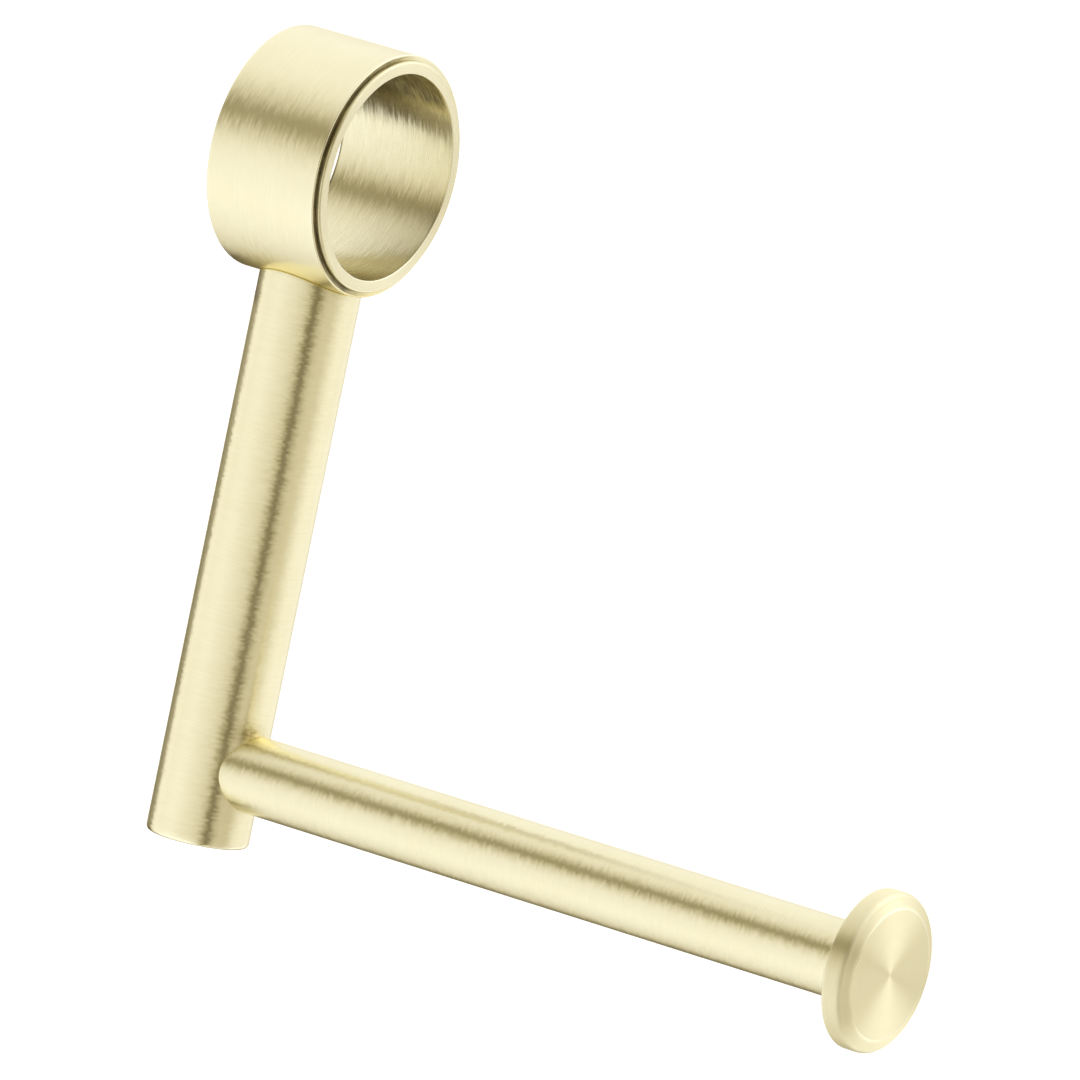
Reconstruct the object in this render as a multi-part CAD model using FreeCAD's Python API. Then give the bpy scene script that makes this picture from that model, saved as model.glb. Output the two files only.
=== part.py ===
import FreeCAD, Part

import math
import os

from FreeCAD import Vector

# Toilet roll holder that hangs from a round grab rail.
#
# Frame, in millimetres: the origin is the centre of the rail bore, on the axis of the drop post.
# +X runs along the rail and the roll arm, from the post to the end flange, +Y towards the wall
# behind the rail, and +Z up.

# ---- Driving dimensions ----------------------------------------------------------------------

RAIL_D = 32.0                # the grab rail that the holder slides on
RAIL_GAP = 0.15              # clearance all round it in the sleeve
SLEEVE_D = 36.2              # outside of the sleeve, and of the lip it shows at the front
COLLAR_D = 38.0              # outside of the collar
COLLAR_BACK = -10.35         # x of the collar's two ends
COLLAR_FRONT = 9.6
SLEEVE_BACK = -10.35         # x of the sleeve's two ends
SLEEVE_FRONT = 10.4
COLLAR_ROUND = 0.20          # rounding of the collar's outer edges
BORE_ROUND = 0.15            # rounding of the bore's edges
LIP_ROUND = 0.35             # rounding of the lip's outer edge

POST_D = 16.0
POST_WALL = 2.0
POST_BOTTOM = -106.4         # z of the post's lower end
POST_ROUND = 0.7             # rounding of its lower edge

ARM_D = 12.0
ARM_WALL = 1.5
ARM_Z = -94.4                # z of the arm's axis
ARM_END = 122.25             # x of the arm's outer end, against the flange

FLANGE_D = 25.0
FLANGE_THICK = 3.95          # from its back to its flat front face
FLANGE_FACE_D = 20.3         # the flat front face
FLANGE_CROWN_R = 11.75       # radius at which the front slope turns into the rounded rim
FLANGE_CROWN_DROP = 0.62     # depth of that circle below the front face
FLANGE_RIM_DROP = 1.55       # depth at which the rim becomes a plain cylinder
FLANGE_RIM_BULGE = 0.16      # how far the rim's rounding stands off its chord, both ways
FLANGE_BACK_ROUND = 0.35
FLANGE_SPIGOT = 4.0          # length of the spigot that centres the flange in the arm
FLANGE_SPIGOT_GAP = 0.02     # its radial clearance there

M4_R = 1.95                  # screws are plain cylinders of their thread's outside radius
M5_R = 2.45
M6_R = 2.95
THREAD_GAP = 0.05            # radial running gap between such a cylinder and its tapped hole
M4_KEY = 2.0                 # hexagon keys across flats: grub screws and stud
M5_KEY = 2.5
M6_KEY = 3.0
TIP_CHAMFER = 0.4            # chamfer on the ends of the screws

CSK_HEAD_R = 4.6             # countersunk M5 head
CSK_RIM = 0.3                # height of the cylindrical rim of that head
CSK_TOP = -16.4              # z of its flat top, just below the bore
CSK_KEY = 3.0                # its hexagon key, across flats
CSK_KEY_DEPTH = 1.9
CSK_SLEEVE_GAP = 0.05        # radial clearance round it in the sleeve and in the collar
CSK_COLLAR_GAP = 0.15
COLLAR_SCREW_LEN = 16.0

PAD_R = 1.6                  # nylon pad between the rail grub screw and the rail
PAD_THICK = 0.8
PAD_RECESS = 0.30            # how far the released pad stays back from the bore
PAD_GRUB_GAP = 0.02          # between the pad and the tip of its grub screw
RAIL_GRUB_LEN = 3.0
RAIL_GRUB_X = -6.2           # the rail grub screw sits beside the post, low on the wall side
RAIL_GRUB_ANGLE = 150.0      # degrees round the rail, from +Z towards +Y

TOP_INSERT_LEN = 17.0        # threaded insert in the post's top
TOP_INSERT_FLOOR = 2.0       # thickness left under its thread
END_PLUG_TOP = -84.0         # z of the top of the plug in the post's lower end
END_PLUG_RECESS = 0.2
SPIGOT_R = 4.0               # spigot that carries the arm in the post's plug
SPIGOT_TIP = -4.0            # x of its inner end
SPIGOT_BODY_END = 26.0       # x to which its body fills the arm tube
SPIGOT_GAP = 0.05            # radial clearance round it, and past its tip
SPIGOT_TIP_GAP = 0.3
GROOVE_DEPTH = 0.9           # V groove round the spigot, for the arm's grub screw
ARM_GRUB_LEN = 6.0
ARM_GRUB_POINT = 1.1         # height of its cone point
ARM_GRUB_GAP = 0.1           # between its tip and the bottom of the groove

END_INSERT_START = 100.0     # x of the threaded insert in the arm's outer end
FLANGE_STUD_START = 104.0
FLANGE_STUD_END = 124.6

# ---- Derived sizes ---------------------------------------------------------------------------

BORE_R = RAIL_D / 2 + RAIL_GAP
SLEEVE_R = SLEEVE_D / 2
COLLAR_R = COLLAR_D / 2
POST_R = POST_D / 2
POST_CORE_R = POST_R - POST_WALL
ARM_R = ARM_D / 2
ARM_CORE_R = ARM_R - ARM_WALL
FLANGE_R = FLANGE_D / 2
FLANGE_FACE_X = ARM_END + FLANGE_THICK
PAD_FACE_R = BORE_R + PAD_RECESS
GRUB_TIP_R = PAD_FACE_R + PAD_THICK + PAD_GRUB_GAP

ORIGIN = Vector(0, 0, 0)
ALONG_X = Vector(1, 0, 0)
ALONG_Z = Vector(0, 0, 1)
ARM_ORIGIN = Vector(0, 0, ARM_Z)
GRUB_ORIGIN = Vector(RAIL_GRUB_X, 0, 0)
GRUB_AXIS = Vector(0, math.sin(math.radians(RAIL_GRUB_ANGLE)), math.cos(math.radians(RAIL_GRUB_ANGLE)))
LONG = 200.0                 # longer than any piece, for cutting tools


# ---- Helpers ---------------------------------------------------------------------------------

def side_of(axis):
    """A direction square to axis."""
    return ALONG_Z if abs(axis.x) > 0.5 else ALONG_X


def rod(start, axis, radius, length):
    """A solid cylinder from start, along axis."""
    return Part.makeCylinder(radius, length, start, axis)


def turned(outline, origin, axis):
    """A turned solid. The outline is a closed list of (distance along axis, radius, bulge):
    bulge is None for a straight run to the next point, or the arc's middle point."""
    side = side_of(axis)
    place = lambda point: origin + axis * point[0] + side * point[1]
    edges = []
    for index, (along, radius, middle) in enumerate(outline):
        start = (along, radius)
        end = outline[(index + 1) % len(outline)][:2]
        if math.dist(start, end) < 1e-9:
            continue
        if middle is None:
            edges.append(Part.LineSegment(place(start), place(end)).toShape())
        else:
            edges.append(Part.Arc(place(start), place(middle), place(end)).toShape())
    face = Part.Face(Part.Wire(edges))
    return face.revolve(origin, axis, 360)


def corner_middle(along, radius, size, along_sign, radius_sign):
    """Middle point of a quarter-round of the given size at a corner of a turned outline."""
    inset = size * (1 - math.sqrt(0.5))
    return (along + along_sign * inset, radius + radius_sign * inset)


def hex_socket(start, axis, across_flats, depth):
    """A hexagonal recess, to be cut from a screw's end."""
    corner_r = across_flats / math.sqrt(3)
    side = side_of(axis)
    other = axis.cross(side)
    corners = []
    for index in range(7):
        angle = index * math.pi / 3
        corners.append(start + side * corner_r * math.cos(angle) + other * corner_r * math.sin(angle))
    return Part.Face(Part.makePolygon(corners)).extrude(axis * depth)


def grub_screw(tip, axis, radius, length, across_flats, point=0.0):
    """A headless screw from its tip along axis, with a socket in its far end.
    A point above zero makes a cone point of that height."""
    tip_r = radius - (point if point else TIP_CHAMFER)
    outline = [
        (0, 0, None),
        (0, tip_r, None),
        (point if point else TIP_CHAMFER, radius, None),
        (length - TIP_CHAMFER, radius, None),
        (length, radius - TIP_CHAMFER, None),
        (length, 0, None),
    ]
    body = turned(outline, tip, axis)
    socket_depth = 0.5 * length
    socket = hex_socket(tip + axis * (length - socket_depth), axis, across_flats, socket_depth + 1)
    return body.cut(socket)


def rail_grub_hole():
    """The tapped hole through the sleeve and the collar, low on the wall side."""
    return rod(GRUB_ORIGIN, GRUB_AXIS, M4_R + THREAD_GAP, LONG)


def csk_hole(radius_gap):
    """The countersunk hole down through the sleeve and the collar."""
    head_r = CSK_HEAD_R + radius_gap
    shank_r = M5_R + radius_gap
    above = 5.0
    below = 30.0
    cone_start = CSK_RIM
    cone_end = CSK_RIM + head_r - shank_r
    outline = [
        (-above, 0, None),
        (-above, head_r, None),
        (cone_start, head_r, None),
        (cone_end, shank_r, None),
        (below, shank_r, None),
        (below, 0, None),
    ]
    return turned(outline, Vector(0, 0, CSK_TOP), -ALONG_Z)


# ---- Rail end --------------------------------------------------------------------------------

def rail_collar():
    size = COLLAR_ROUND
    outline = [
        (COLLAR_BACK, SLEEVE_R, None),
        (COLLAR_BACK, COLLAR_R - size, corner_middle(COLLAR_BACK, COLLAR_R, size, 1, -1)),
        (COLLAR_BACK + size, COLLAR_R, None),
        (COLLAR_FRONT - size, COLLAR_R, corner_middle(COLLAR_FRONT, COLLAR_R, size, -1, -1)),
        (COLLAR_FRONT, COLLAR_R - size, None),
        (COLLAR_FRONT, SLEEVE_R, None),
    ]
    ring = turned(outline, ORIGIN, ALONG_X)
    return ring.cut(csk_hole(CSK_COLLAR_GAP)).cut(rail_grub_hole())


def collar_sleeve():
    size = BORE_ROUND
    lip = LIP_ROUND
    outline = [
        (SLEEVE_BACK + size, BORE_R, corner_middle(SLEEVE_BACK, BORE_R, size, 1, 1)),
        (SLEEVE_BACK, BORE_R + size, None),
        (SLEEVE_BACK, SLEEVE_R, None),
        (SLEEVE_FRONT - lip, SLEEVE_R, corner_middle(SLEEVE_FRONT, SLEEVE_R, lip, -1, -1)),
        (SLEEVE_FRONT, SLEEVE_R - lip, None),
        (SLEEVE_FRONT, BORE_R + size, corner_middle(SLEEVE_FRONT, BORE_R, size, -1, 1)),
        (SLEEVE_FRONT - size, BORE_R, None),
    ]
    ring = turned(outline, ORIGIN, ALONG_X)
    return ring.cut(csk_hole(CSK_SLEEVE_GAP)).cut(rail_grub_hole())


def collar_screw():
    """Countersunk screw from inside the bore down into the post."""
    cone_end = CSK_RIM + CSK_HEAD_R - M5_R
    length = COLLAR_SCREW_LEN
    outline = [
        (0, 0, None),
        (0, CSK_HEAD_R, None),
        (CSK_RIM, CSK_HEAD_R, None),
        (cone_end, M5_R, None),
        (length - TIP_CHAMFER, M5_R, None),
        (length, M5_R - TIP_CHAMFER, None),
        (length, 0, None),
    ]
    body = turned(outline, Vector(0, 0, CSK_TOP), -ALONG_Z)
    socket = hex_socket(Vector(0, 0, CSK_TOP - CSK_KEY_DEPTH), ALONG_Z, CSK_KEY, 2 * CSK_KEY_DEPTH)
    return body.cut(socket)


def rail_thrust_pad():
    return rod(GRUB_ORIGIN + GRUB_AXIS * PAD_FACE_R, GRUB_AXIS, PAD_R, PAD_THICK)


def rail_grub_screw():
    return grub_screw(GRUB_ORIGIN + GRUB_AXIS * GRUB_TIP_R, GRUB_AXIS, M4_R, RAIL_GRUB_LEN, M4_KEY)


# ---- Drop post -------------------------------------------------------------------------------

def post_tube():
    """The post, its top coped to sit on the round of the collar."""
    size = POST_ROUND
    outline = [
        (POST_BOTTOM, POST_CORE_R, None),
        (POST_BOTTOM, POST_R - size, corner_middle(POST_BOTTOM, POST_R, size, 1, -1)),
        (POST_BOTTOM + size, POST_R, None),
        (0, POST_R, None),
        (0, POST_CORE_R, None),
    ]
    tube = turned(outline, ORIGIN, ALONG_Z)
    tube = tube.cut(rod(Vector(-LONG / 2, 0, 0), ALONG_X, COLLAR_R, LONG))
    return tube.cut(rod(ARM_ORIGIN, ALONG_X, SPIGOT_R + SPIGOT_GAP, LONG))


def post_top_insert():
    """Threaded insert that the collar screw pulls against the collar."""
    bottom = -COLLAR_R - TOP_INSERT_LEN
    plug = rod(Vector(0, 0, bottom), ALONG_Z, POST_CORE_R, -bottom)
    plug = plug.cut(rod(Vector(-LONG / 2, 0, 0), ALONG_X, COLLAR_R, LONG))
    return plug.cut(rod(Vector(0, 0, bottom + TOP_INSERT_FLOOR), ALONG_Z, M5_R, LONG))


def post_end_plug():
    """Plug in the post's lower end, with the arm's cross bore and a grub screw from below."""
    bottom = POST_BOTTOM + END_PLUG_RECESS
    plug = rod(Vector(0, 0, bottom), ALONG_Z, POST_CORE_R, END_PLUG_TOP - bottom)
    cross = rod(Vector(SPIGOT_TIP - SPIGOT_TIP_GAP, 0, ARM_Z), ALONG_X, SPIGOT_R + SPIGOT_GAP, LONG)
    tapped = rod(Vector(0, 0, bottom - 1), ALONG_Z, M5_R + THREAD_GAP, ARM_Z - bottom + 1)
    return plug.cut(cross).cut(tapped)


def arm_grub_screw():
    """Screw from below, its point in the spigot's groove."""
    tip = Vector(0, 0, ARM_Z - SPIGOT_R + GROOVE_DEPTH - ARM_GRUB_GAP)
    return grub_screw(tip, -ALONG_Z, M5_R, ARM_GRUB_LEN, M5_KEY, ARM_GRUB_POINT)


# ---- Roll arm --------------------------------------------------------------------------------

def post_saddle():
    return rod(Vector(0, 0, -LONG), ALONG_Z, POST_R, LONG)


def arm_tube():
    """The arm, its root coped to sit on the round of the post."""
    outer = rod(ARM_ORIGIN, ALONG_X, ARM_R, ARM_END)
    core = rod(ARM_ORIGIN, ALONG_X, ARM_CORE_R, ARM_END)
    return outer.cut(core).cut(post_saddle())


def arm_spigot():
    """Plug in the arm's root, with the grooved spigot that enters the post."""
    body = rod(ARM_ORIGIN, ALONG_X, ARM_CORE_R, SPIGOT_BODY_END).cut(post_saddle())
    groove_r = SPIGOT_R - GROOVE_DEPTH
    half_width = M5_R
    outline = [
        (SPIGOT_TIP, 0, None),
        (SPIGOT_TIP, SPIGOT_R - TIP_CHAMFER, None),
        (SPIGOT_TIP + TIP_CHAMFER, SPIGOT_R, None),
        (-half_width, SPIGOT_R, None),
        (-half_width + GROOVE_DEPTH, groove_r, None),
        (half_width - GROOVE_DEPTH, groove_r, None),
        (half_width, SPIGOT_R, None),
        (SPIGOT_BODY_END, SPIGOT_R, None),
        (SPIGOT_BODY_END, 0, None),
    ]
    return body.fuse(turned(outline, ARM_ORIGIN, ALONG_X)).removeSplitter()


def arm_end_insert():
    """Threaded insert in the arm's outer end."""
    length = ARM_END - FLANGE_SPIGOT - END_INSERT_START
    start = Vector(END_INSERT_START, 0, ARM_Z)
    return rod(start, ALONG_X, ARM_CORE_R, length).cut(rod(start, ALONG_X, M6_R, length))


def flange_stud():
    tip = Vector(FLANGE_STUD_END, 0, ARM_Z)
    return grub_screw(tip, -ALONG_X, M6_R, FLANGE_STUD_END - FLANGE_STUD_START, M6_KEY)


def end_flange():
    """Turned stop at the arm's end: a rim, a rounded slope and a raised flat face."""
    size = FLANGE_BACK_ROUND
    face = FLANGE_FACE_X
    crown = face - FLANGE_CROWN_DROP
    rim = face - FLANGE_RIM_DROP
    spigot = ARM_END - FLANGE_SPIGOT
    chord_middle = ((crown + rim) / 2, (FLANGE_CROWN_R + FLANGE_R) / 2)
    rim_middle = (chord_middle[0] + FLANGE_RIM_BULGE, chord_middle[1] + FLANGE_RIM_BULGE)
    outline = [
        (spigot, 0, None),
        (spigot, ARM_CORE_R - FLANGE_SPIGOT_GAP, None),
        (ARM_END, ARM_CORE_R - FLANGE_SPIGOT_GAP, None),
        (ARM_END, FLANGE_R - size, corner_middle(ARM_END, FLANGE_R, size, 1, -1)),
        (ARM_END + size, FLANGE_R, None),
        (rim, FLANGE_R, rim_middle),
        (crown, FLANGE_CROWN_R, None),
        (face, FLANGE_FACE_D / 2, None),
        (face, 0, None),
    ]
    flange = turned(outline, ARM_ORIGIN, ALONG_X)
    start = Vector(spigot - 1, 0, ARM_Z)
    return flange.cut(rod(start, ALONG_X, M6_R, FLANGE_STUD_END - spigot + 1))


PARTS = {
    "rail_collar": rail_collar,
    "collar_sleeve": collar_sleeve,
    "collar_screw": collar_screw,
    "rail_thrust_pad": rail_thrust_pad,
    "rail_grub_screw": rail_grub_screw,
    "post_tube": post_tube,
    "post_top_insert": post_top_insert,
    "post_end_plug": post_end_plug,
    "arm_grub_screw": arm_grub_screw,
    "arm_tube": arm_tube,
    "arm_spigot": arm_spigot,
    "arm_end_insert": arm_end_insert,
    "flange_stud": flange_stud,
    "end_flange": end_flange,
}

os.makedirs("parts", exist_ok=True)
for name, make in PARTS.items():
    shape = make()
    solids = shape.Solids
    if len(solids) != 1 or not solids[0].isClosed() or not solids[0].isValid():
        raise ValueError(f"{name}: {len(solids)} solids, not one valid closed solid")
    solids[0].exportStep(f"parts/{name}.step")
    print(f"{name}: {solids[0].Volume / 1000:.2f} cm3")
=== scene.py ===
import math

import bmesh
import bpy
from mathutils import Matrix, Vector


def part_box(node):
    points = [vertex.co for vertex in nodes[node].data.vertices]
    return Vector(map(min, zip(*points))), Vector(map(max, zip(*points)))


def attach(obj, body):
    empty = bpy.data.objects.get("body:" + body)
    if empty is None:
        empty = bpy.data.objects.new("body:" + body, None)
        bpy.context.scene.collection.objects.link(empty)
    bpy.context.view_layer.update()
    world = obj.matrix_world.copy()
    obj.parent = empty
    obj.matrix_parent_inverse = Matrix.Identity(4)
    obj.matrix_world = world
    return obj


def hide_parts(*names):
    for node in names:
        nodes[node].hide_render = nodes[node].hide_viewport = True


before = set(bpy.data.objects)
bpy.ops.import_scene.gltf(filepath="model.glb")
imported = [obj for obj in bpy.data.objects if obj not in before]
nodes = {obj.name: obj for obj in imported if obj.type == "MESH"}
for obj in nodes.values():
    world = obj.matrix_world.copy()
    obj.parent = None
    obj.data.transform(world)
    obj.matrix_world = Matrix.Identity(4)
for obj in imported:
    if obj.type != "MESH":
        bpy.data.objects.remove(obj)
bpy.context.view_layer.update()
MM = 0.001

# ---- Sizes in metres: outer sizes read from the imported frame, walls as in the CAD -----------------

SLEEVE_WALL, POST_WALL, ARM_WALL = 1.95 * MM, 2.0 * MM, 1.5 * MM

COLLAR_LOW, COLLAR_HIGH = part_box("rail_collar")
SLEEVE_LOW, SLEEVE_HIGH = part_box("collar_sleeve")
POST_LOW, POST_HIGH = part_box("post_tube")
ARM_LOW, ARM_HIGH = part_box("arm_tube")
FLANGE_LOW, FLANGE_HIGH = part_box("end_flange")

COLLAR_R = COLLAR_HIGH.z
SLEEVE_R = SLEEVE_HIGH.z
BORE_R = SLEEVE_R - SLEEVE_WALL
POST_R = POST_HIGH.x
POST_CORE_R = POST_R - POST_WALL
ARM_R = (ARM_HIGH.z - ARM_LOW.z) / 2
ARM_CORE_R = ARM_R - ARM_WALL
ARM_Z = (ARM_HIGH.z + ARM_LOW.z) / 2
ARM_END = ARM_HIGH.x
FLANGE_R = (FLANGE_HIGH.z - FLANGE_LOW.z) / 2
FLANGE_FACE = FLANGE_HIGH.x

X_AXIS = Vector((1, 0, 0))
Z_AXIS = Vector((0, 0, 1))
ORIGIN = Vector((0, 0, 0))
ARM_ORIGIN = Vector((0, 0, ARM_Z))


# ---- Mesh helpers -------------------------------------------------------------------------------

def quarter(along, radius, size, along_sign, radius_sign, start, wear=1.0, steps=7):
    """Points of a quarter-round inside the corner (along, radius) of an outline.
    The signs point from the corner to the arc's centre. start says whether the arc starts on the
    round "side" or on the flat "end"."""
    points = []
    for i in range(steps + 1):
        t = i / steps * math.pi / 2
        if start == "end":
            t = math.pi / 2 - t
        a = along + along_sign * size * (1 - math.sin(t))
        r = radius + radius_sign * size * (1 - math.cos(t))
        fade = math.sin(math.pi * i / steps)
        points.append((a, r, wear * (0.35 + 0.65 * fade)))
    return points


def run(start, end, steps):
    """Evenly spaced points of a straight run of an outline, both ends left out."""
    return [
        (start[0] + (end[0] - start[0]) * i / steps, start[1] + (end[1] - start[1]) * i / steps, 0.0)
        for i in range(1, steps)
    ]


def turned(name, outline_at, axis, origin, around, closed=True):
    """A dense turned mesh. outline_at(angle) gives the outline at that angle round the axis, as
    (distance along the axis, radius, wear), and, where the colour is darkened by painted shade, how
    much. Angles run from +Z (or +X, for an upright axis)."""
    side = Z_AXIS if axis.x > 0.5 else X_AXIS
    other = axis.cross(side)
    bm = bmesh.new()
    wear_layer = bm.verts.layers.float.new("wear")
    painted_shade_layer = bm.verts.layers.float.new("painted_shade")
    rings = []
    for i in range(around):
        angle = 2 * math.pi * i / around
        out = side * math.cos(angle) + other * math.sin(angle)
        ring = []
        for along, radius, wear, *painted_shade in outline_at(angle):
            vert = bm.verts.new(origin + axis * along + out * radius)
            vert[wear_layer] = wear
            vert[painted_shade_layer] = painted_shade[0] if painted_shade else 0.0
            ring.append(vert)
        rings.append(ring)
    count = len(rings[0])
    last = count if closed else count - 1
    for i in range(around):
        here, there = rings[i], rings[(i + 1) % around]
        for j in range(last):
            k = (j + 1) % count
            bm.faces.new((here[j], here[k], there[k], there[j]))
    bmesh.ops.remove_doubles(bm, verts=bm.verts, dist=1e-7)
    bmesh.ops.dissolve_degenerate(bm, edges=bm.edges, dist=1e-8)
    bmesh.ops.recalc_face_normals(bm, faces=bm.faces)
    for face in bm.faces:
        face.smooth = True
    mesh = bpy.data.meshes.new(name)
    bm.to_mesh(mesh)
    bm.free()
    piece = bpy.data.objects.new(name, mesh)
    bpy.context.scene.collection.objects.link(piece)
    return piece


def applied(piece):
    """Applies every modifier of a piece to its mesh."""
    graph = bpy.context.evaluated_depsgraph_get()
    mesh = bpy.data.meshes.new_from_object(piece.evaluated_get(graph))
    piece.modifiers.clear()
    piece.data = mesh


def shade(piece, sharp=38):
    """Smooth shading with sharp edges kept, large faces leading the normals."""
    piece.data.set_sharp_from_angle(angle=math.radians(sharp))
    weighted = piece.modifiers.new("normals", "WEIGHTED_NORMAL")
    weighted.mode = "FACE_AREA"
    weighted.keep_sharp = True
    weighted.weight = 60
    applied(piece)


def cut(piece, cutter):
    """Cuts one mesh out of another and drops the cutter."""
    boolean = piece.modifiers.new("cut", "BOOLEAN")
    boolean.operation = "DIFFERENCE"
    boolean.solver = "EXACT"
    boolean.object = cutter
    applied(piece)
    bpy.data.objects.remove(cutter)


def finished(piece, body, node, material):
    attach(piece, body)
    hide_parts(node)
    piece.data.materials.clear()
    piece.data.materials.append(material)


# ---- Material helpers ---------------------------------------------------------------------------

class Tree:
    """Short calls for building a node tree."""

    def __init__(self, owner):
        owner.use_nodes = True
        self.tree = owner.node_tree
        self.tree.nodes.clear()

    def add(self, kind, **settings):
        node = self.tree.nodes.new(kind)
        for key, value in settings.items():
            setattr(node, key, value)
        return node

    def put(self, socket, value):
        if isinstance(value, bpy.types.NodeSocket):
            self.tree.links.new(value, socket)
        else:
            socket.default_value = value

    def math(self, operation, a, b=None, c=None, clamp=False):
        node = self.add("ShaderNodeMath", operation=operation, use_clamp=clamp)
        for socket, value in zip(node.inputs, (a, b, c)):
            if value is not None:
                self.put(socket, value)
        return node.outputs[0]

    def vec(self, operation, a, b=None, scale=None):
        node = self.add("ShaderNodeVectorMath", operation=operation)
        self.put(node.inputs[0], a)
        if b is not None:
            self.put(node.inputs[1], b)
        if scale is not None:
            self.put(node.inputs["Scale"], scale)
        return node.outputs["Value"] if operation in ("DOT_PRODUCT", "LENGTH") else node.outputs["Vector"]

    def noise(self, vector, scale, detail=2.0, roughness=0.5):
        node = self.add("ShaderNodeTexNoise", noise_dimensions="3D")
        self.put(node.inputs["Vector"], vector)
        self.put(node.inputs["Scale"], scale)
        self.put(node.inputs["Detail"], detail)
        self.put(node.inputs["Roughness"], roughness)
        return node.outputs["Fac"]

    def mix(self, factor, a, b):
        node = self.add("ShaderNodeMix", data_type="RGBA", blend_type="MIX")
        self.put(node.inputs["Factor"], factor)
        self.put(node.inputs[6], a)
        self.put(node.inputs[7], b)
        return node.outputs[2]

    def remap(self, value, low, high, to_low, to_high, smooth=True):
        node = self.add("ShaderNodeMapRange", interpolation_type="SMOOTHSTEP" if smooth else "LINEAR")
        for socket, number in zip(node.inputs, (value, low, high, to_low, to_high)):
            self.put(socket, number)
        return node.outputs[0]


# The first and third colours are painted shade, a dim gold and a dark brown; the second is a painted warm
# reflection near joints.
SHADE_GOLD = (0.62, 0.54, 0.29, 1.0)
REFLECTED_GOLD = (0.95, 0.81, 0.32, 1.0)
SHADE_BROWN = (0.20, 0.175, 0.105, 1.0)
DARK_MARKS = (0.98, 0.977, 0.965)        # how the brush marks vary the colour
PALE_MARKS = (1.015, 1.018, 1.03)
WORN_EDGE = (1.05, 1.06, 1.16)
RADIAL_SHARE = 1.31                      # how far a step outwards counts as a step across the marks
BUMP_DEPTH = 0.00002


def tinted(colour, factors):
    """A colour times a factor for each channel, no channel above 1."""
    return tuple(min(1.0, c * s) for c, s in zip(colour, factors)) + (1.0,)


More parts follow.
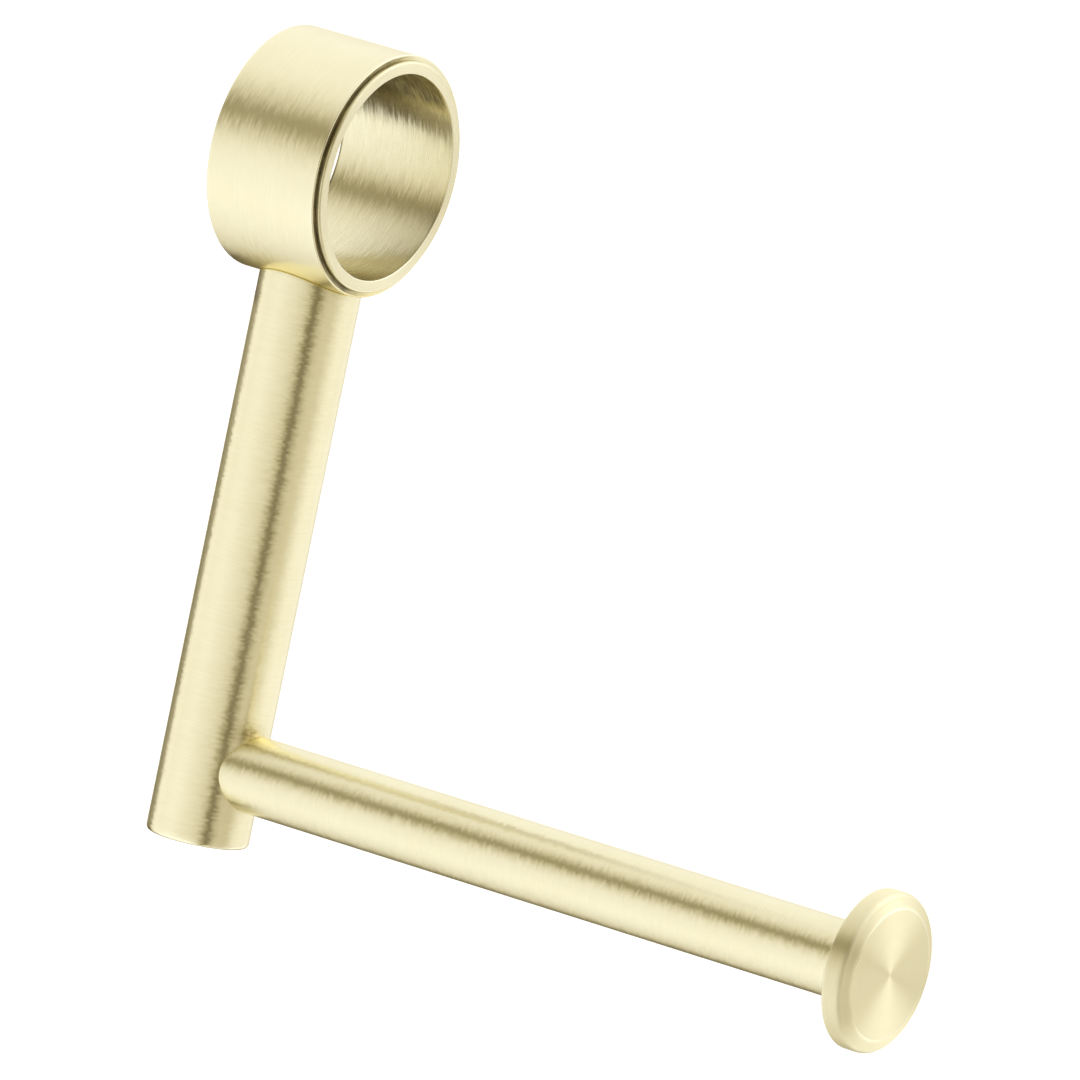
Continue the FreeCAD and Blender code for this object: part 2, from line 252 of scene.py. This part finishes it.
def brushed(name, axis, centre, colour, marks, rough=0.30, grain=1.0, jitter=0.05, strokes=9.0,
            drawn=0.82, rim=None, warmth=None):
    """Metal brushed round an axis.
    marks: brush marks for each metre across them
    strokes: how many of them lie end to end round the piece
    jitter: how far a mark tips the surface round the axis
    grain: strength of the fine scratches
    drawn: how much wider a reflection spreads across the marks than along them
    rim: two radii between which the roughness rises, and by how much
    warmth: a point, and the two distances from it between which a painted warm reflection near a joint
    fades"""
    material = bpy.data.materials.new(name)
    t = Tree(material)
    place = t.vec("SUBTRACT", t.add("ShaderNodeTexCoord").outputs["Object"], tuple(centre))
    along = t.vec("DOT_PRODUCT", place, tuple(axis))
    flat = t.vec("SUBTRACT", place, t.vec("SCALE", tuple(axis), scale=along))
    radius = t.vec("LENGTH", flat)
    out = t.vec("NORMALIZE", flat)
    circle = t.vec("CROSS_PRODUCT", tuple(axis), out)
    normal = t.add("ShaderNodeNewGeometry").outputs["Normal"]
    across = t.math("MULTIPLY_ADD", radius, RADIAL_SHARE, along)

    def marks_at(density, turns, shift):
        """Texture coordinates in which noise is drawn out round the axis."""
        line = t.math("MULTIPLY_ADD", across, density, shift)
        ring = t.vec("SCALE", out, scale=turns)
        return t.vec("ADD", t.vec("SCALE", tuple(axis), scale=line), ring)

    coarse = t.noise(marks_at(marks, strokes, 3.0), 1.0, 3.0, 0.6)
    fine = t.noise(marks_at(marks * 3.4, strokes * 0.8, 11.0), 1.0, 2.0, 0.55)
    lines = t.noise(marks_at(marks * 1.6, strokes * 0.25, 29.0), 1.0, 2.0, 0.5)
    patches = t.noise(t.vec("ADD", place, (0.013, 0.027, 0.041)), 75.0, 3.0, 0.55)
    wear = t.add("ShaderNodeAttribute", attribute_name="wear").outputs["Fac"]

    tip = t.math("MULTIPLY", t.math("SUBTRACT", coarse, 0.5), jitter * 2)
    tip = t.math("MULTIPLY_ADD", t.math("SUBTRACT", fine, 0.5), jitter * 1.1, tip)
    tipped = t.vec("NORMALIZE", t.vec("ADD", normal, t.vec("SCALE", circle, scale=tip)))
    bump = t.add("ShaderNodeBump")
    t.put(bump.inputs["Strength"], 0.05 * grain)
    t.put(bump.inputs["Distance"], BUMP_DEPTH)
    t.put(bump.inputs["Height"], t.math("MULTIPLY_ADD", lines, 0.6, fine))
    t.put(bump.inputs["Normal"], tipped)

    tangent = t.vec("NORMALIZE", t.vec("CROSS_PRODUCT", circle, normal))

    tone = t.math("ADD", t.math("MULTIPLY", lines, 0.45), t.math("MULTIPLY", patches, 0.55))
    tone = t.remap(tone, 0.38, 0.64, 0.0, 1.0)
    varied = t.mix(tone, tinted(colour, DARK_MARKS), tinted(colour, PALE_MARKS))
    edge = t.math("MULTIPLY", wear, t.remap(coarse, 0.3, 0.65, 0.25, 1.0), clamp=True)
    final = t.mix(edge, varied, tinted(colour, WORN_EDGE))
    # Painted warm reflection near a joint: the colour turns a warmer gold close to the given point.
    if warmth:
        reach = t.vec("LENGTH", t.vec("SUBTRACT", place, tuple(warmth[0] - centre)))
        final = t.mix(t.remap(reach, warmth[1], warmth[2], 0.75, 0.0), final, REFLECTED_GOLD)
    # Painted shade, read from a mesh attribute: it darkens the colour towards a dim gold, then towards
    # dark brown, streaked by the brush marks.
    painted_shade = t.add("ShaderNodeAttribute", attribute_name="painted_shade").outputs["Fac"]
    streaked = t.math("MULTIPLY", painted_shade, t.remap(coarse, 0.35, 0.65, 1.0, 0.66))
    final = t.mix(t.remap(streaked, 0.0, 0.55, 0.0, 1.0, smooth=False), final, SHADE_GOLD)
    final = t.mix(t.remap(streaked, 0.4, 1.0, 0.0, 1.0, smooth=False), final, SHADE_BROWN)

    gloss = t.math("ADD", t.remap(fine, 0.3, 0.7, rough - 0.02 * grain, rough + 0.02 * grain),
                   t.remap(patches, 0.3, 0.7, -0.01, 0.01))
    gloss = t.math("MULTIPLY_ADD", edge, -0.13, gloss)
    if rim:
        gloss = t.math("ADD", gloss, t.remap(radius, rim[0], rim[1], 0.0, rim[2]))

    shader = t.add("ShaderNodeBsdfPrincipled")
    t.put(shader.inputs["Base Color"], final)
    shader.inputs["Metallic"].default_value = 1.0
    t.put(shader.inputs["Roughness"], gloss)
    shader.inputs["Anisotropic"].default_value = drawn
    t.put(shader.inputs["Tangent"], tangent)
    t.put(shader.inputs["Normal"], bump.outputs["Normal"])
    output = t.add("ShaderNodeOutputMaterial")
    t.put(output.inputs["Surface"], shader.outputs[0])
    return material


# ---- Finishes -----------------------------------------------------------------------------------

PALE_GOLD = (0.925, 0.868, 0.610)
POST_GOLD = (0.960, 0.902, 0.635)
ARM_GOLD = (0.900, 0.845, 0.592)
FACE_GOLD = (0.980, 0.910, 0.620)
BRASS = (0.80, 0.62, 0.30)
STEEL = (0.62, 0.62, 0.60)

POST_JOINT = Vector((0, 0, -COLLAR_R))
ARM_JOINT = Vector((POST_R, 0, ARM_HIGH.z))

# The collar's ring and the arm get a painted warm reflection near their joints with the post.
gold_rail = brushed(
    "gold_brushed_round_rail", X_AXIS, ORIGIN, PALE_GOLD, 3000, strokes=8.0, jitter=0.095,
    warmth=(POST_JOINT, 7.0 * MM, 14.5 * MM))
gold_bore = brushed(
    "gold_brushed_bore", X_AXIS, ORIGIN, PALE_GOLD, 2800, strokes=5.0, grain=2.0, jitter=0.11)
gold_post = brushed(
    "gold_brushed_round_post", Z_AXIS, ORIGIN, POST_GOLD, 2300, strokes=6.0, jitter=0.10)
gold_arm = brushed(
    "gold_brushed_round_arm", X_AXIS, ARM_ORIGIN, ARM_GOLD, 2300, strokes=4.5, jitter=0.12,
    warmth=(ARM_JOINT, 0.8 * MM, 6.5 * MM))
gold_face = brushed(
    "gold_spun", X_AXIS, ARM_ORIGIN, FACE_GOLD, 4200, rough=0.31, strokes=6.0, jitter=0.02,
    drawn=0.96, rim=(10.1 * MM, 10.9 * MM, 0.11))
plain_brass = brushed("turned_brass", X_AXIS, ARM_ORIGIN, BRASS, 3000, rough=0.24)
brass_upright = brushed("turned_brass_upright", Z_AXIS, ORIGIN, BRASS, 3000, rough=0.24)
steel_along = brushed("turned_steel_along", X_AXIS, ARM_ORIGIN, STEEL, 5000, rough=0.26)
steel_upright = brushed("turned_steel_upright", Z_AXIS, ORIGIN, STEEL, 5000, rough=0.26)


# ---- Rail end -----------------------------------------------------------------------------------

def rod_cutter(start, axis, radius, length, around=96):
    outline = [(0, 0, 0), (0, radius, 0), (length, radius, 0), (length, 0, 0)]
    base = turned("cutter", lambda angle: outline, X_AXIS, ORIGIN, around, closed=False)
    turn = X_AXIS.rotation_difference(axis).to_matrix().to_4x4()
    base.data.transform(Matrix.Translation(start) @ turn)
    return base


def room_side(angle):
    """1 on the side of the collar that faces the room, 0 on the wall side."""
    return min(1.0, max(0.0, (math.sin(angle) + 0.12) / 0.4))


def collar_outline(angle):
    """The collar's ring. Painted shade lies on its front end, against the sleeve's lip, on the side that
    faces the room.
    """
    shade_side = room_side(angle)
    low, high, size = COLLAR_LOW.x, COLLAR_HIGH.x, 0.20 * MM
    inner = SLEEVE_R
    return (
        quarter(low, COLLAR_R, size, 1, -1, "end")
        + run((low + size, COLLAR_R), (high - size, COLLAR_R), 44)
        + quarter(high, COLLAR_R, size, -1, -1, "side")
        + [(high, COLLAR_R - size - 0.04 * MM, 0.0, 0.5 * shade_side),
           (high, COLLAR_R - size - 0.14 * MM, 0.0, shade_side),
           (high, inner + 0.2 * MM, 0.0, shade_side), (high, inner + 0.03 * MM, 0.0, shade_side),
           (high - 0.06 * MM, inner, 0.0, 1.0)]
        + [(low + 0.06 * MM, inner, 0.0), (low, inner + 0.06 * MM, 0.3)]
    )


collar = turned("rail_collar_ring", collar_outline, X_AXIS, ORIGIN, 384)


# Painted shade in the bore: a dark reflection painted at its top, and a darkened lowest line.
TOP_SHADE_HALF_TURN, TOP_SHADE_FADE = 45.0, 12.0     # degrees from the top of the bore
LOW_SHADE_HALF_TURN, LOW_SHADE = 30.0, 0.8         # degrees from its lowest line, and the most painted shade there


def bore_shade(angle):
    """Painted shade in the bore: 1 at the top of the bore, which hangs on the rail, where it stands in
    for a dark reflection; less at its lowest line; 0 elsewhere."""
    off = math.degrees(math.acos(math.cos(angle)))
    bore_darkening = 1.0 - min(1.0, max(0.0, (off - TOP_SHADE_HALF_TURN) / TOP_SHADE_FADE))
    return max(bore_darkening, LOW_SHADE * max(0.0, (off - (180.0 - LOW_SHADE_HALF_TURN)) / LOW_SHADE_HALF_TURN))


def sleeve_outline(angle):
    """The sleeve, from the back edge of its bore to the lip at its front end. Painted shade darkens the
    back edge of the bore, its top and its lowest line, the lip's rounded edge and the outside of the
    sleeve behind the lip.
    """
    shade_side, bore_darkening = room_side(angle), bore_shade(angle)
    low, high, size, lip, bevel = SLEEVE_LOW.x, SLEEVE_HIGH.x, 0.15 * MM, 0.35 * MM, 0.06 * MM
    back_shade_end = low + 0.42 * MM
    rounding = quarter(high, SLEEVE_R, lip, -1, -1, "end", wear=0.0, steps=8)
    fade = (0.0, 0.0, 0.0, 0.04, 0.12, 0.24, 0.38, 0.54, 0.70)
    return (
        [(a, r, 0.0, 1.0) for a, r, _ in quarter(low, BORE_R, size, 1, 1, "end", steps=5)]
        + [(low + 0.26 * MM, BORE_R, 0.0, 0.9), (back_shade_end, BORE_R, 0.0, 0.0)]
        + [(a, r, 0.0, bore_darkening) for a, r, _ in run((back_shade_end, BORE_R), (high - size, BORE_R), 40)]
        + quarter(high, BORE_R, size, -1, 1, "side", steps=5)
        + [(a, r, 0.5) for a, r, _ in run((high, BORE_R + size), (high, SLEEVE_R - lip), 6)]
        + [(a, r, 0.0, darkening * shade_side) for (a, r, _), darkening in zip(rounding, fade)]
        + [(high - lip - 0.12 * MM, SLEEVE_R, 0.0, 0.9 * shade_side),
           (high - lip - 0.25 * MM, SLEEVE_R, 0.0, shade_side),
           (high - 0.85 * MM, SLEEVE_R, 0.0, 1.0), (high - 1.1 * MM, SLEEVE_R, 0.0, 0.5)]
        + [(low + 0.3 * MM, SLEEVE_R, 0.0), (low + bevel, SLEEVE_R, 0.0), (low, SLEEVE_R - bevel, 0.3)]
        + run((low, SLEEVE_R - bevel), (low, BORE_R + size), 5)
    )


sleeve = turned("rail_sleeve", sleeve_outline, X_AXIS, ORIGIN, 384)

# The tapped hole of the rail grub screw, and the countersunk hole of the collar screw.
grub_angle = math.radians(150)
grub_axis = Vector((0, math.sin(grub_angle), math.cos(grub_angle)))
grub_start = Vector((-6.2 * MM, 0, 0)) + grub_axis * 14 * MM
screw_start = Vector((0, 0, -15 * MM))
for piece, gap in ((collar, 0.15 * MM), (sleeve, 0.05 * MM)):
    cut(piece, rod_cutter(grub_start, grub_axis, 2.0 * MM, 8 * MM))
    cut(piece, rod_cutter(screw_start, -Z_AXIS, 4.6 * MM + gap, 1.7 * MM))
    cut(piece, rod_cutter(screw_start, -Z_AXIS, 2.45 * MM + gap + 1.0 * MM, 8 * MM))
    shade(piece)
finished(collar, "holder", "rail_collar", gold_rail)
finished(sleeve, "holder", "collar_sleeve", gold_bore)


# ---- Drop post ----------------------------------------------------------------------------------

def saddle(big_r, offset):
    """Distance from the axis of a round of radius big_r, at a sideways offset."""
    return math.sqrt(max(big_r * big_r - offset * offset, 0.0))


# Painted shade in the corner over the arm: its place, its size and its strength.
CORNER_SHADE_Z, CORNER_SHADE_HEIGHT = ARM_Z + 6.2 * MM, 1.5 * MM
CORNER_SHADE_TURN, CORNER_SHADE_WIDTH = math.radians(-21), math.radians(19)
CORNER_SHADE_DEPTH = 0.7


def post_outline(angle):
    """The post's section at an angle from +X: its top follows the round of the collar."""
    size = 0.7 * MM
    low = POST_LOW.z

    def top(radius, drop=0.0):
        return -saddle(COLLAR_R, radius * math.sin(angle)) - drop

    edge = 0.22 * MM
    points = quarter(low, POST_R, size, 1, -1, "end", wear=0.8)
    rows = 130
    start, end = low + size, top(POST_R, edge)
    turn = math.remainder(angle, 2 * math.pi)
    for i in range(1, rows):
        z = start + (end - start) * (i / rows)
        rise, aside = (z - CORNER_SHADE_Z) / CORNER_SHADE_HEIGHT, (turn - CORNER_SHADE_TURN) / CORNER_SHADE_WIDTH
        # Painted shade in the corner over the arm, in the fourth entry of each point.
        points.append((z, POST_R, 0.0, CORNER_SHADE_DEPTH * math.exp(-rise ** 2 - aside ** 2)))
    for i in range(6):
        t = i / 5 * math.pi / 2
        r = POST_R - edge * (1 - math.cos(t))
        points.append((top(r, edge * (1 - math.sin(t))), r, 0.0))
    points += [(top(POST_CORE_R), POST_CORE_R, 0.0), (low + 24 * MM, POST_CORE_R, 0.0)]
    points += [(low + 0.2 * MM, POST_CORE_R, 0.0), (low, POST_CORE_R + 0.2 * MM, 0.5)]
    return points


post = turned("drop_post", post_outline, Z_AXIS, ORIGIN, 256)
shade(post)
finished(post, "holder", "post_tube", gold_post)


# ---- Roll arm -----------------------------------------------------------------------------------

def arm_outline(angle):
    """The arm's section at an angle from +Z: its root follows the round of the post."""
    def root(radius, gap=0.0):
        return saddle(POST_R, radius * math.sin(angle)) + gap

    edge = 0.30 * MM
    points = [(root(ARM_CORE_R), ARM_CORE_R, 0.0)]
    for i in range(7):
        t = i / 6 * math.pi / 2
        r = ARM_R - edge * (1 - math.sin(t))
        points.append((root(r, edge * (1 - math.cos(t))), r, 0.9 * math.sin(2 * t)))
    rows = 110
    start, end = root(ARM_R, edge), ARM_END - 0.05 * MM
    points += [(start + (end - start) * (i / rows), ARM_R, 0.0) for i in range(1, rows)]
    points += [(end, ARM_R, 0.0), (ARM_END, ARM_R - 0.05 * MM, 0.0), (ARM_END, ARM_CORE_R, 0.0)]
    return points


arm = turned("roll_arm", arm_outline, X_AXIS, ARM_ORIGIN, 224)
shade(arm)
finished(arm, "holder", "arm_tube", gold_arm)


# ---- End flange ---------------------------------------------------------------------------------

def flange_outline():
    """The flange: flat face, slope, rounded shoulder, rim, back, and the spigot in the arm."""
    face, back, size, flat_r = FLANGE_FACE, ARM_END, 0.35 * MM, 10.05 * MM
    slope_start, slope_end = (face - 0.13 * MM, 10.4 * MM), (face - 0.60 * MM, 11.68 * MM)
    points = [(face, 0.0, 0.0)]
    points += run((face, 0.0), (face, flat_r), 24)
    points += [(face, flat_r, 0.0), (face - 0.01 * MM, 10.11 * MM, 0.5)]
    points += [(face - 0.05 * MM, 10.17 * MM, 0.8), (*slope_start, 0.2)]
    points += run(slope_start, slope_end, 6)
    # The shoulder lies between a straight line from crown to rim (bulge 0) and a quarter-round (1).
    crown, rim, bulge = (0.62 * MM, 11.75 * MM), (1.55 * MM, FLANGE_R), 0.85
    steps = 14
    for i in range(steps + 1):
        t = i / steps
        swing = t * math.pi / 2
        drop = crown[0] + (rim[0] - crown[0]) * ((1 - bulge) * t + bulge * (1 - math.cos(swing)))
        out = crown[1] + (rim[1] - crown[1]) * ((1 - bulge) * t + bulge * math.sin(swing))
        points.append((face - drop, out, 0.35 * math.sin(math.pi * t)))
    points += run((face - rim[0], FLANGE_R), (back + size, FLANGE_R), 6)
    points += quarter(back, FLANGE_R, size, 1, -1, "side")
    back_r, spigot_end = FLANGE_R - 0.8 * MM, back - 4 * MM
    points += [(back, back_r, 0.0)]
    points += run((back, back_r), (back, ARM_CORE_R), 10)
    points += [(back, ARM_CORE_R, 0.0), (spigot_end, ARM_CORE_R - 0.05 * MM, 0.0), (spigot_end, 0.0, 0.0)]
    return points


disc = flange_outline()
flange = turned("end_flange_disc", lambda angle: disc, X_AXIS, ARM_ORIGIN, 320, closed=False)
shade(flange, 28)
finished(flange, "holder", "end_flange", gold_face)


# ---- Carried-over CAD nodes ---------------------------------------------------------------------

def dress(node, material):
    obj = nodes[node]
    obj.data.materials.clear()
    obj.data.materials.append(material)


dress("collar_screw", steel_upright)
dress("rail_grub_screw", steel_upright)
dress("arm_grub_screw", steel_upright)
dress("flange_stud", steel_along)
dress("post_top_insert", brass_upright)
dress("post_end_plug", gold_post)
dress("arm_spigot", plain_brass)
dress("arm_end_insert", plain_brass)


def nylon():
    material = bpy.data.materials.new("nylon")
    t = Tree(material)
    place = t.add("ShaderNodeTexCoord").outputs["Object"]
    cloud = t.noise(place, 900.0, 4.0, 0.6)
    shader = t.add("ShaderNodeBsdfPrincipled")
    t.put(shader.inputs["Base Color"], t.mix(cloud, (0.78, 0.76, 0.70, 1), (0.88, 0.87, 0.82, 1)))
    t.put(shader.inputs["Roughness"], t.remap(cloud, 0.3, 0.7, 0.42, 0.58))
    bump = t.add("ShaderNodeBump")
    t.put(bump.inputs["Strength"], 0.2)
    t.put(bump.inputs["Distance"], BUMP_DEPTH)
    t.put(bump.inputs["Height"], cloud)
    t.put(shader.inputs["Normal"], bump.outputs["Normal"])
    t.put(t.add("ShaderNodeOutputMaterial").inputs["Surface"], shader.outputs[0])
    return material


dress("rail_thrust_pad", nylon())


# ---- Floor --------------------------------------------------------------------------------------

def pale_floor():
    material = bpy.data.materials.new("pale_floor")
    t = Tree(material)
    place = t.add("ShaderNodeTexCoord").outputs["Object"]
    cloud = t.noise(place, 3.0, 3.0, 0.5)
    shader = t.add("ShaderNodeBsdfPrincipled")
    t.put(shader.inputs["Base Color"], t.mix(cloud, (0.93, 0.93, 0.93, 1), (0.96, 0.96, 0.96, 1)))
    t.put(shader.inputs["Roughness"], t.remap(cloud, 0.3, 0.7, 0.75, 0.9))
    shader.inputs["Emission Color"].default_value = (1, 1, 1, 1)
    shader.inputs["Emission Strength"].default_value = 0.40
    t.put(t.add("ShaderNodeOutputMaterial").inputs["Surface"], shader.outputs[0])
    return material


FLOOR_DROP = 0.16             # metres below the post
FLOOR_HALF = 14.0             # half of its side, in metres
bm = bmesh.new()
bmesh.ops.create_grid(bm, x_segments=8, y_segments=8, size=FLOOR_HALF)
floor_mesh = bpy.data.meshes.new("floor")
bm.to_mesh(floor_mesh)
bm.free()
floor = bpy.data.objects.new("floor", floor_mesh)
floor.location = (0, 0, POST_LOW.z - FLOOR_DROP)
floor.data.materials.append(pale_floor())
floor.visible_glossy = False
bpy.context.scene.collection.objects.link(floor)


def dark_card(name, corners):
    """A dark flat card that only reflections see, and only from above."""
    mesh = bpy.data.meshes.new(name)
    mesh.from_pydata(corners, [], [tuple(range(len(corners)))])
    card = bpy.data.objects.new(name, mesh)
    card.data.materials.append(card_material)
    card.visible_camera = False
    card.visible_shadow = False
    card.visible_diffuse = False
    bpy.context.scene.collection.objects.link(card)


card_material = bpy.data.materials.new("dark_card")
card_tree = Tree(card_material)
card_shader = card_tree.add("ShaderNodeBsdfPrincipled")
card_shader.inputs["Base Color"].default_value = (0.13, 0.105, 0.06, 1)
card_shader.inputs["Roughness"].default_value = 0.9
one_sided = card_tree.add("ShaderNodeMixShader")
card_tree.put(one_sided.inputs[0], card_tree.add("ShaderNodeNewGeometry").outputs["Backfacing"])
card_tree.put(one_sided.inputs[1], card_shader.outputs[0])
card_tree.put(one_sided.inputs[2], card_tree.add("ShaderNodeBsdfTransparent").outputs[0])
card_tree.put(card_tree.add("ShaderNodeOutputMaterial").inputs["Surface"], one_sided.outputs[0])

# A little lower than the collar, to its left and behind: it darkens the reflections in the collar's
# underside and in the top of the bore.
CARD_Z = -0.024
CARD_LEFT, CARD_RIGHT, CARD_FRONT, CARD_BACK = -0.050, -0.0115, -0.004, 0.045
dark_card("card_below", [
    (CARD_LEFT, CARD_FRONT, CARD_Z), (CARD_RIGHT, CARD_FRONT, CARD_Z),
    (CARD_RIGHT, CARD_BACK, CARD_Z), (CARD_LEFT, CARD_BACK, CARD_Z)])


# ---- Studio light -------------------------------------------------------------------------------

# Each panel or gap of the studio: its centre and its width in degrees, and how much brighter or dimmer
# than the plain white wall it is. Headings run round from -Y towards +X, pitches from -Y up to +Z.
POST_BAND = (53.5, 11.5, -0.81)          # gap: the dark band down the post
ARM_BAND = (31.5, 18.0, -0.73)           # gap: the dark bands along the arm and the collar
POST_EDGE = (-121.0, 12.0, -0.74)        # gap: the post's dark left edge
ARM_EDGE = (-141.0, 19.0, -0.90)         # gap: the dark lower edges of the arm and the collar
LEFT_PANEL = (-34.0, 38.0, 0.20)
RIGHT_WALL = (100.0, 42.0, -0.34)
LOW_PANEL = (-50.0, 25.0, 0.05)
HIGH_WALL = (75.0, 40.0, -0.10)

FLANGE_SIDE = (0.53, 0.84, -0.14)        # from the object to the panel that the flange's face reflects
FLANGE_PANEL = 0.27
OVERHEAD_PANEL = 0.70
STUDIO_STRENGTH = 1.11

# The dim strips behind the object on the right, which draw the fan on the spun face: the normal of
# each strip's great circle, its width and its depth.
STRIPS = (((-0.069, 0.185, 0.980), 0.022, -0.36), ((0.553, -0.103, 0.827), 0.09, -0.28))
GAP_LIGHT = (1.0, 0.85, 0.44, 1)         # the warm light that is left in the gaps


def studio():
    """A white studio all round, with soft panels and dim gaps between them. The camera itself sees
    plain white."""
    world = bpy.data.worlds.new("studio")
    bpy.context.scene.world = world
    t = Tree(world)
    ray = t.vec("NORMALIZE", t.add("ShaderNodeTexCoord").outputs["Generated"])
    parts = t.add("ShaderNodeSeparateXYZ")
    t.put(parts.inputs[0], ray)
    x, y, z = parts.outputs
    front = t.math("MULTIPLY", y, -1.0)
    heading = t.math("ARCTAN2", x, front)
    pitch = t.math("ARCTAN2", z, front)

    def bell(off):
        """1 where off is 0, falling away on both sides of it."""
        return t.math("DIVIDE", 1.0, t.math("ADD", t.math("MULTIPLY", off, off), 1.0))

    def scaled(light, amount, gain):
        """light times 1 + gain where amount is 1."""
        return t.math("MULTIPLY", light, t.math("MULTIPLY_ADD", amount, gain, 1.0))

    def lit(light, angle, panel, within=None):
        """light with one panel or gap added, within a part of the studio only."""
        centre, width, gain = panel
        off = t.math("DIVIDE", t.math("SUBTRACT", angle, math.radians(centre)), math.radians(width))
        amount = bell(off)
        if within is not None:
            amount = t.math("MULTIPLY", amount, within)
        return scaled(light, amount, gain)

    ahead = t.remap(front, -0.05, 0.45, 0.0, 1.0)
    leftward = t.remap(x, 0.2, -0.25, 0.0, 1.0)
    level = t.math("MULTIPLY", t.remap(z, 0.5, 0.1, 0.0, 1.0), t.remap(z, -0.75, -0.3, 0.0, 1.0))
    flange_side = t.vec("DOT_PRODUCT", ray, FLANGE_SIDE)
    overhead = t.math("MULTIPLY", t.remap(x, 0.15, 0.5, 0.0, 1.0), t.remap(z, 0.15, 0.5, 0.0, 1.0))

    light = lit(1.0, heading, POST_BAND)
    light = lit(light, pitch, ARM_BAND, ahead)
    light = lit(light, heading, POST_EDGE, level)
    light = lit(light, pitch, ARM_EDGE, leftward)
    light = lit(light, heading, LEFT_PANEL)
    light = lit(light, heading, RIGHT_WALL)
    light = lit(light, pitch, LOW_PANEL)
    light = lit(light, pitch, HIGH_WALL)
    light = scaled(light, t.remap(flange_side, 0.55, 0.92, 0.0, 1.0), FLANGE_PANEL)
    light = scaled(light, overhead, OVERHEAD_PANEL)
    for normal, width, depth in STRIPS:
        line = bell(t.math("DIVIDE", t.vec("DOT_PRODUCT", ray, normal), width))
        light = scaled(light, t.math("MULTIPLY", line, t.remap(flange_side, 0.2, 0.7, 0.0, 1.0)), depth)

    dimness = t.remap(light, 0.1, 1.0, 1.0, 0.0, smooth=False)
    seen = t.add("ShaderNodeBackground")
    t.put(seen.inputs["Color"], (1, 1, 1, 1))
    t.put(seen.inputs["Strength"], 1.0)
    panels = t.add("ShaderNodeBackground")
    t.put(panels.inputs["Color"], t.mix(dimness, (1.0, 1.0, 1.0, 1), GAP_LIGHT))
    t.put(panels.inputs["Strength"], t.math("MULTIPLY", light, STUDIO_STRENGTH))
    pick = t.add("ShaderNodeMixShader")
    t.put(pick.inputs[0], t.add("ShaderNodeLightPath").outputs["Is Camera Ray"])
    t.put(pick.inputs[1], panels.outputs[0])
    t.put(pick.inputs[2], seen.outputs[0])
    t.put(t.add("ShaderNodeOutputWorld").inputs["Surface"], pick.outputs[0])


studio()


# ---- Camera -------------------------------------------------------------------------------------

VIEW_TURN = math.radians(32.4608)      # round the object, from -Y towards +X
VIEW_RISE = math.radians(8.1818)       # above the level
VIEW_ROLL = math.radians(11.6993)
VIEW_FROM = Vector((1.560607, -2.374853, 0.357949))
FOCAL_LENGTH = 627.42                  # mm, on a 36 mm sensor

back = Vector((math.sin(VIEW_TURN) * math.cos(VIEW_RISE), -math.cos(VIEW_TURN) * math.cos(VIEW_RISE),
               math.sin(VIEW_RISE)))
right = Vector((math.cos(VIEW_TURN), math.sin(VIEW_TURN), 0))
up = back.cross(right)
right, up = (
    right * math.cos(VIEW_ROLL) + up * math.sin(VIEW_ROLL),
    up * math.cos(VIEW_ROLL) - right * math.sin(VIEW_ROLL),
)
camera = bpy.data.objects.new("camera", bpy.data.cameras.new("camera"))
camera.data.sensor_width = 36
camera.data.lens = FOCAL_LENGTH
camera.data.clip_end = 60
camera.matrix_world = Matrix.Translation(VIEW_FROM) @ Matrix((right, up, back)).transposed().to_4x4()
bpy.context.scene.collection.objects.link(camera)
bpy.context.scene.camera = camera
bpy.context.scene.view_settings.view_transform = "Standard"
